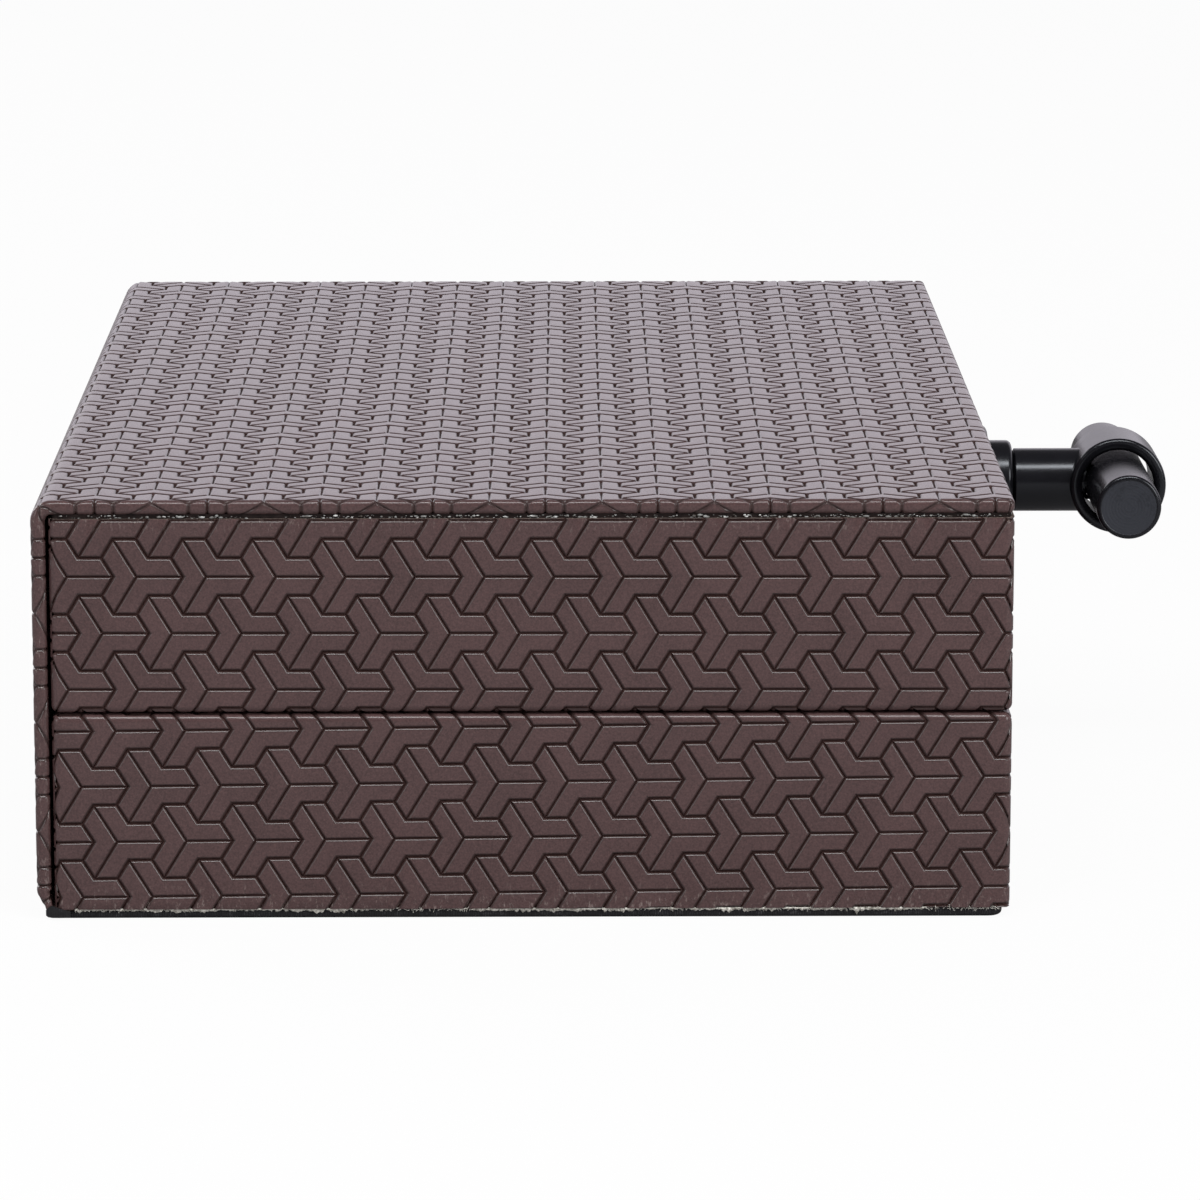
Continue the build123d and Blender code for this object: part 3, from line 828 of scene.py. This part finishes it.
# %% Black base cloth
base_cloth, shader, place = new_finish("black_base_cloth", {"Specular IOR Level": 0.4})
warp, weft = (
    place.node(
        "TexWave", {"bands_direction": way},
        {"Vector": place, "Scale": 620.0, "Distortion": 1.0, "Detail": 2.0, "Detail Scale": 3.0},
    )
    for way in ("X", "Y")
)
dust = speckle(place, 700.0, 5.0, 0.75)
feed(
    shader,
    Base_Color=dyed(
        0.8 * dust + 0.12 * warp + 0.12 * weft,
        (0.35, 16, 16, 18), (0.62, 32, 32, 35), (0.8, 80, 80, 82),
    ),
    Roughness=0.62 + 0.25 * dust,
    Normal=bumps(0.6 * warp * weft + dust, 0.5, 0.0002),
)
print("finish", base_cloth.name)

# %% Pad with its folded tabs, and tongue
PAD = ((-97.8, -149.2), (98.7, 149.2))
PAD_HIGH, PAD_EDGE, PAD_RIM, PAD_CORNER = 2.2, 0.9, 0.25, 3.0
TONGUE = ((-96.4, -148.8), (-78.4, 148.8))
STEP_FROM, STEP_TO = TONGUE[1][0] + 0.2, TONGUE[1][0] + 0.4
TAB_SECTION = ((-149.0, 0.2), (-150.4, 0.2), (-150.4, 2.6), (-150.15, 2.6), (-150.15, 1.5), (-149.0, 1.5))
TAB_PLACES = ((-98.25, 1.0, 2.2), (-97.8, 0.65, 2.6), (-97.0, 0.5, 3.1), (-95.6, 0.48, 2.5), (-93.2, 0.5, 1.85))
TAB_LOW, TAB_HIGH, TAB_EDGE = 1, 2, 0.09


def folded_tab(side):
    """One tab, at the front for -1 and at the back for 1; TAB_PLACES are (place, low edge, high edge)."""
    bm = bmesh.new()
    section = [bm.faces.new([bm.verts.new((TAB_PLACES[0][0], -side * y, z)) for y, z in TAB_SECTION])]
    for here, there in zip(TAB_PLACES, TAB_PLACES[1:]):
        moved = bmesh.ops.extrude_face_region(bm, geom=section)["geom"]
        move(bm, there[0] - here[0], 0, 0, moved)
        section = [part for part in moved if isinstance(part, bmesh.types.BMFace)]
    for vert in bm.verts:
        nearest = min(TAB_PLACES, key=lambda mark: abs(mark[0] - vert.co.x))
        if vert.co.z < TAB_LOW:
            vert.co.z = nearest[1]
        elif vert.co.z > TAB_HIGH:
            vert.co.z = nearest[2]
    bmesh.ops.recalc_face_normals(bm, faces=bm.faces)
    bevel(bm, bm.edges[:], TAB_EDGE, 2)
    return bm


pad = rectangle(PAD)
bevel(pad, pad.verts[:], PAD_CORNER, 6, "VERTICES")
thicken(pad, PAD_HIGH)
soften(pad, 0, PAD_EDGE, 5)
soften(pad, PAD_HIGH, PAD_RIM, 2)
slice_sheet(pad, 0, [STEP_FROM, STEP_TO])
for vert in pad.verts:
    if vert.co.x < (STEP_FROM + STEP_TO) / 2:
        vert.co.z = min(vert.co.z, PAD_HIGH - LEATHER - GLUE_ROOM)
for side in (-1, 1):
    absorb(pad, folded_tab(side))
base_pad = finish_piece(pad, "base_pad_cloth", base_cloth, weighted=True)
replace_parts(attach(base_pad, "base"), "base_skin")

tongue = rectangle(TONGUE, PAD_HIGH - LEATHER)
thicken(tongue, LEATHER - GLUE_ROOM)
tongue_leather = finish_piece(tongue, "hinge_tongue_leather", raw_leather, smooth=False)
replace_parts(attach(tongue_leather, "base"), "hinge_tongue")

# %% [markdown]
# ## Torn backing and dried glue
# The lower band was cut after gluing: its pale cloth backing frays along the foot. Round the upper band's raw
# edge, specks of glue and backing show in the joint under the lid. The fray is a strip whose lower edge is moved
# by noise and cut away where it is short, with loose fibres over it; each speck is a small squashed ball.

# %% Pale backing and glue
backing, shader, place = new_finish("pale_backing", {"Specular IOR Level": 0.3})
threads = speckle(place, 1500.0, 4.0, 0.8)
feed(
    shader,
    Base_Color=dyed(threads, (0.3, 90, 84, 78), (0.46, 190, 187, 176), (0.58, 246, 244, 234)),
    Roughness=0.75 + 0.2 * threads,
    Normal=bumps(threads, 0.7, 0.0003),
)
glue, shader, place = new_finish("dried_glue", {"IOR": 1.47})
lumps = speckle(place, 500.0, 2.0)
feed(
    shader,
    Base_Color=dyed(lumps, (0.35, 78, 72, 66), (0.5, 140, 141, 138), (0.65, 204, 205, 202)),
    Roughness=0.25 + 0.4 * lumps,
)
print("finishes", backing.name, glue.name)


# %% Fray along the foot of the lower band
FRAY_DROP, FRAY_STEP, FRAY_LEAST, FRAY_THICK = 1.1, 0.35, 0.03, 0.08
PATCHES = 0.035


def ground_at(x, y):
    """A place or a direction on the ground."""
    return Vector((x, y, 0))


def frayed_edge(bm, start, end, inward, seed):
    """A ragged strip of backing under a raw edge, from one corner to the next."""
    strip = bmesh.new()
    run = end - start
    bmesh.ops.create_grid(strip, x_segments=int(run.length / FRAY_STEP), y_segments=2, size=0.5)
    jitter = random.Random(seed)
    for vert in strip.verts:
        share, hang = vert.co.x + 0.5, 0.5 - vert.co.y
        place = run.length * share
        patch = noise.noise(Vector((place * PATCHES, seed, 0))) + 0.4
        coarse, fine = (noise.noise(Vector((place * k, seed, z))) for k, z in ((0.45, 3), (1.6, 7)))
        tuft = 0.6 + 0.6 * coarse + 0.7 * fine
        drop = hang * min(max(patch, 0.0) * 2.2, 1.0) * max(tuft, 0.0) * FRAY_DROP
        ground = start + run * share + inward * (0.15 + 0.35 * hang * jitter.random())
        vert.co = (ground.x, ground.y, PAD_HIGH + 0.05 - drop)
    short = [f for f in strip.faces if f.calc_area() < FRAY_LEAST]
    bmesh.ops.delete(strip, geom=short, context="FACES")
    absorb(bm, strip)


def fibres_along(bm, start, end, inward, seed):
    """Loose fibres, each a thin three-sided cone, that lie every way over the raw edge."""
    chance = random.Random(seed)
    run = end - start
    ahead = run.normalized()
    place = 0.0
    while place < run.length:
        place += 0.08 + chance.expovariate(5.0)
        if chance.random() > 1.3 * (noise.noise(Vector((place * PATCHES, seed, 0))) + 0.5):
            continue
        length = 0.35 + 0.9 * chance.random() ** 2
        fibre = bmesh.new()
        bmesh.ops.create_cone(fibre, cap_ends=True, segments=3, radius1=0.1, radius2=0.03, depth=length)
        swing = Matrix.Rotation(chance.gauss(0, 1.0), 3, -inward)
        swing = swing @ Matrix.Rotation(0.25 * chance.random(), 3, ahead)
        bmesh.ops.rotate(fibre, matrix=swing, verts=fibre.verts)
        ground = start + ahead * place + inward * (0.05 + 0.25 * chance.random())
        move(fibre, ground.x, ground.y, PAD_HIGH - 0.35 * chance.random())
        absorb(bm, fibre)


left, front, right, back = TRAY_LEFT + 4, -HALF_LENGTH, HALF_WIDTH - 2, HALF_LENGTH
foot_edges = (
    (ground_at(left, front), ground_at(right, front), ground_at(0, 1), 11),
    (ground_at(HALF_WIDTH, front + 2), ground_at(HALF_WIDTH, back - 2), ground_at(-1, 0), 23),
    (ground_at(right, back), ground_at(left, back), ground_at(0, -1), 37),
)
fray = bmesh.new()
for start, end, inward, seed in foot_edges:
    frayed_edge(fray, start, end, inward, seed)
bmesh.ops.solidify(fray, geom=fray.faces[:], thickness=FRAY_THICK)
for start, end, inward, seed in foot_edges:
    fibres_along(fray, start, end, inward, seed + 1)
foot_fray = finish_piece(fray, "foot_fray", backing)
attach(foot_fray, "base")


# %% Specks in the joint under the lid
SEAM_LOW, SEAM_HIGH = 83.8, 84.8


def specks_along(bm, start, end, outward, seed):
    """Squashed balls of glue stuck along the bare joint, in loose clusters."""
    chance = random.Random(seed)
    run = end - start
    place = 0.0
    while place < run.length:
        place += 0.15 + chance.expovariate(2.4)
        if noise.noise(Vector((place * 0.06, seed, 0))) < -0.25:
            place += 2.0
            continue
        ball = bmesh.new()
        bmesh.ops.create_icosphere(ball, subdivisions=1, radius=0.07 + 0.24 * chance.random() ** 3)
        stretch = 1.0 + 2.4 * chance.random() ** 2
        size = (stretch, 0.8, 0.9) if abs(run.x) > abs(run.y) else (0.8, stretch, 0.9)
        bmesh.ops.scale(ball, vec=size, verts=ball.verts)
        level = SEAM_LOW + (SEAM_HIGH - SEAM_LOW) * (0.12 + 0.6 * chance.random())
        ground = start + run.normalized() * place + outward * (0.05 + 0.3 * chance.random())
        move(ball, ground.x, ground.y, level)
        absorb(bm, ball)


left, right, side_x = TRAY_LEFT + 2, HALF_WIDTH - 1.5, HALF_WIDTH - LEATHER
specks = bmesh.new()
for start, end, outward, seed in (
    ((left, front + LEATHER), (right, front + LEATHER), (0, -1), 5),
    ((side_x, front + 2), (side_x, back - 2), (1, 0), 6),
    ((left, back - LEATHER), (right, back - LEATHER), (0, 1), 7),
):
    specks_along(specks, ground_at(*start), ground_at(*end), ground_at(*outward), seed)
glue_specks = finish_piece(specks, "glue_specks", glue)
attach(glue_specks, "lid")

# %% [markdown]
# ## The T-bar pull
# The pull is turned metal: a rosette and collar on the wall, a stem behind a fine groove, and a short sleeve that
# carries the bar. Turned pieces are drawn as half a section and spun; their rims are then bevelled round.

# %% Satin black metal
PULL_Z, BAR_X = 64.2, 134.6
BAR_HALF, BAR_RADIUS, DISH = 35.0, 7.2, 6.1

metal, shader, place = new_finish("satin_black_metal", {"IOR": 1.5, "Specular Tint": (0.9, 0.94, 1.0, 1)})
brush = speckle(place, 1400.0, 3.0, 0.6)
smear = speckle(place, 90.0, 3.0, 0.6)
centred = place.node("Mapping", None, {"Vector": place, "Location": (-BAR_X * MM, 0, -PULL_Z * MM)})
flat_place = place.node("VectorMath", {"operation": "MULTIPLY"}, {0: centred, 1: (1, 0, 1)})
radius_out = place.node("VectorMath", {"operation": "LENGTH"}, {0: flat_place}, output=1)
rings, wide_rings = (place.node("Math", {"operation": "SINE"}, {0: radius_out * k}) for k in (9000.0, 2600.0))
along_bar = place.node("SeparateXYZ", None, {"Vector": place}, output=1)
at_end = place.node("Math", {"operation": "COMPARE"}, {0: along_bar * along_bar, 1: (BAR_HALF * MM) ** 2, 2: 2e-5})
bar_end = at_end * ramp(radius_out, (DISH + 0.2) * MM, DISH * MM)
feed(
    shader,
    Base_Color=dyed(
        0.6 * smear + 0.4 * brush + 0.5 * bar_end,
        (0.3, 14, 14, 17), (0.7, 21, 21, 25), (1.0, 50, 52, 58),
    ),
    Roughness=0.16 + 0.08 * smear + 0.04 * brush + 0.2 * bar_end,
    Normal=bumps(bar_end * (0.6 * rings + 0.5 * wide_rings) + 0.12 * brush, 0.2, 0.00005),
)
print("finish", metal.name)


# %% Spin and round a turned piece
def turned(profile, rounds, closed=False):
    """Spins (distance, radius) points about the x axis; rounds are (distance, radius, size) of rims to round."""
    bm = bmesh.new()
    points = [bm.verts.new((distance, radius, 0)) for distance, radius in profile]
    pairs = list(zip(points, points[1:])) + ([(points[-1], points[0])] if closed else [])
    lines = [bm.edges.new(pair) for pair in pairs]
    bmesh.ops.spin(
        bm, geom=[*points, *lines], cent=(0, 0, 0), axis=(1, 0, 0), angle=math.tau, steps=96, use_merge=True
    )
    bmesh.ops.remove_doubles(bm, verts=bm.verts, dist=1e-4)
    bmesh.ops.recalc_face_normals(bm, faces=bm.faces)
    for distance, radius, size in rounds:
        rim = [
            e for e in bm.edges
            if all(abs(v.co.x - distance) < 1e-3 and abs(v.co.yz.length - radius) < 1e-3 for v in e.verts)
        ]
        bevel(bm, rim, size, 5)
    return bm


def pull_piece(bm, name, node, on_bar=False):
    """Moves a turned piece to the pull's own axis, or to the bar's, and puts it on the lid."""
    if on_bar:
        bmesh.ops.rotate(bm, matrix=Matrix.Rotation(math.radians(90), 3, "Z"), verts=bm.verts)
    move(bm, BAR_X if on_bar else HALF_WIDTH, 0, PULL_Z)
    piece = finish_piece(bm, name, metal, weighted=True)
    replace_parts(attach(piece, "lid"), node)


# %% Rosette, collar, stem, sleeve and bar
ROSETTE_END, ROSETTE_RADIUS = 5.2, 12.5
COLLAR_END, COLLAR_RADIUS = 10.8, 9.0
GROOVE_END, GROOVE_RADIUS, STEM_RADIUS, STEM_END = 11.4, 6.65, 7.15, 24.0
SLEEVE_HALF, SLEEVE_RADIUS, SLEEVE_BORE = 8.75, 10.85, 8.1


def disc(start, end, radius, size):
    """A turned disc with one rim rounded and its foot just eased."""
    return turned(
        [(start, 0), (start, radius), (end, radius), (end, 0)], [(start, radius, 0.1), (end, radius, size)]
    )


pull_piece(disc(0, ROSETTE_END, ROSETTE_RADIUS, 1.5), "pull_rosette", "handle_rosette")
pull_piece(disc(ROSETTE_END, COLLAR_END, COLLAR_RADIUS, 1.2), "pull_collar", "handle_collar")

stem = turned(
    [
        (COLLAR_END, 0), (COLLAR_END, GROOVE_RADIUS), (GROOVE_END, GROOVE_RADIUS), (GROOVE_END, STEM_RADIUS),
        (14.0, STEM_RADIUS), (STEM_END, STEM_RADIUS),
    ],
    [(GROOVE_END, STEM_RADIUS, 0.3)],
)
for vert in stem.verts:
    if vert.co.x > STEM_END - 1:
        vert.co.x = BAR_X - HALF_WIDTH - math.sqrt((SLEEVE_RADIUS - 0.05) ** 2 - vert.co.z ** 2)
cap = bmesh.ops.holes_fill(stem, edges=[e for e in stem.edges if e.is_boundary])["faces"]
bmesh.ops.inset_region(stem, faces=cap, thickness=0.3)
pull_piece(stem, "pull_stem", "handle_stem")

sleeve = turned(
    [
        (-SLEEVE_HALF, SLEEVE_BORE), (-SLEEVE_HALF, SLEEVE_RADIUS),
        (SLEEVE_HALF, SLEEVE_RADIUS), (SLEEVE_HALF, SLEEVE_BORE),
    ],
    [(end * SLEEVE_HALF, *rim) for end in (-1, 1) for rim in ((SLEEVE_RADIUS, 0.9), (SLEEVE_BORE, 1.5))],
    closed=True,
)
pull_piece(sleeve, "pull_sleeve", "handle_sleeve", on_bar=True)

bar_half = [(BAR_HALF - 0.15, 0), (BAR_HALF - 0.15, DISH), (BAR_HALF, DISH + 0.1), (BAR_HALF, BAR_RADIUS)]
bar = turned(
    [(-d, r) for d, r in bar_half] + bar_half[::-1],
    [(end, BAR_RADIUS, 0.8) for end in (-BAR_HALF, BAR_HALF)],
)
pull_piece(bar, "pull_bar", "handle_bar", on_bar=True)

# %% [markdown]
# ## Boards, screws and magnets
# These are the solids themselves: their shapes are right, and they only need a finish. The board ends show as a
# dark line in the joint under the lid; their dark brown is partly the board's colour and partly painted shade of
# that deep joint.


# %% Finishes of the hidden solids
def dress(material, *nodes):
    """Gives a finish to solids that stay as they are."""
    for node in nodes:
        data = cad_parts[node].data
        data.materials.clear()
        data.materials.append(material)


# Dark brown board: partly the board's own colour, partly painted shade of the joint under the lid.
board, shader, place = new_finish("dark_board", {"Specular IOR Level": 0.2})
pulp = speckle(place, 800.0, 5.0, 0.75)
feed(
    shader,
    Base_Color=dyed(pulp, (0.3, 22, 17, 16), (0.7, 48, 38, 36)),
    Roughness=0.8 + 0.2 * pulp,
    Normal=bumps(pulp, 0.5, 0.0002),
)
walls = [f"{tray}_{side}_wall" for tray in ("lower", "upper") for side in ("front", "back", "hinge", "handle")]
boards = [*walls, "base_board", "lower_floor", "spine_board", "top_board"]
dress(board, *boards)

steel, shader, place = new_finish("fastener_steel", {"Metallic": 1.0})
scratch = speckle(place, 900.0, 3.0)
feed(
    shader,
    Base_Color=dyed(scratch, (0.3, 150, 150, 152), (0.7, 186, 187, 190)),
    Roughness=0.25 + 0.2 * scratch,
)
fasteners = ["handle_stud", "handle_screw", "handle_washer", "lower_magnets", "upper_magnets"]
dress(steel, *fasteners)
dress(metal, "handle_spacer")
print("solids dressed", len(boards) + len(fasteners) + 1)

# %% [markdown]
# ## Studio
# The photograph's ground is plain white. A pale floor catches what little shadow there is. The world is white to
# the camera. In reflections the backdrop behind the box is white too, and the room on the camera's side is dim,
# which is why the lid shines and the front does not. A soft lamp above and in front, and weaker ones on the right
# and the left, give the plates their bright lips and light the box at a plain level. One more lights the far sides.

# %% Floor, world and lamps
FILL, DIMMED, BACKDROP = 0.33, 0.6, 0.9
FLOOR_SIZE, FLOOR_GREY, FLOOR_GLOW = 15000, 0.38, 0.95
floor_material, shader, place = new_finish("pale_floor", {"Roughness": 0.9})
seen = place.node("LightPath", output=0)
feed(shader, Base_Color=place.node("CombineColor", None, {k: FLOOR_GREY + 0.42 * seen for k in range(3)}))
glow = place.node("Emission", None, {"Color": (1, 1, 1, 1), "Strength": 1.0})
floor_mix = place.node("MixShader", None, {0: FLOOR_GLOW * seen, 1: Wire(place.tree, shader.outputs[0]), 2: glow})
feed(place.tree.nodes["Material Output"], Surface=floor_mix)
floor_bm = bmesh.new()
bmesh.ops.create_grid(floor_bm, x_segments=1, y_segments=1, size=FLOOR_SIZE)
floor = finish_piece(floor_bm, "floor", floor_material, smooth=False)

world = bpy.data.worlds.new("white_studio")
world.use_nodes = True
bpy.context.scene.world = world
sky = Wire(world.node_tree)
camera_ray = sky.node("LightPath", output=0)
mirror_ray = sky.node("LightPath", output=3) + sky.node("LightPath", output=6)
direction = sky.node("TexCoord", output=0)
behind, above = (sky.node("SeparateXYZ", None, {"Vector": direction}, output=k) for k in (1, 2))
backdrop = ramp(behind, -0.35, 0.15) * ramp(above, 0.6, 0.3)
bright_ray = sky.node("Clamp", None, {"Value": camera_ray + BACKDROP * mirror_ray * backdrop})
sky_colour = sky.node(
    "Mix", {"data_type": "RGBA"}, {0: camera_ray, 6: (0.98, 0.93, 1.02, 1), 7: (1, 1, 1, 1)}, output=2
)
room = FILL * (1 - DIMMED * mirror_ray)
feed(world.node_tree.nodes["Background"], Color=sky_colour, Strength=room + (1 - room) * bright_ray)


def soft_lamp(name, place, size, power):
    """A broad soft lamp that looks at the middle of the box."""
    data = bpy.data.lights.new(name, "AREA")
    data.shape = "RECTANGLE"
    data.size, data.size_y = size
    data.energy = power
    lamp = bpy.data.objects.new(name, data)
    lamp.location = place
    lamp.rotation_euler = (Vector(place) - Vector((0, 0, 0.05))).to_track_quat("Z", "Y").to_euler()
    bpy.context.scene.collection.objects.link(lamp)


soft_lamp("key_softbox", (0.12, -0.88, 1.45), (1.3, 0.32), 15.0)
soft_lamp("side_softbox", (1.31, -1.16, 0.6), (0.7, 0.9), 11.0)
soft_lamp("spine_softbox", (-1.31, -1.16, 0.6), (0.7, 0.9), 5.0)
soft_lamp("back_softbox", (-1.3, 1.1, 0.9), (0.9, 0.9), 9.0)
print("studio ready")
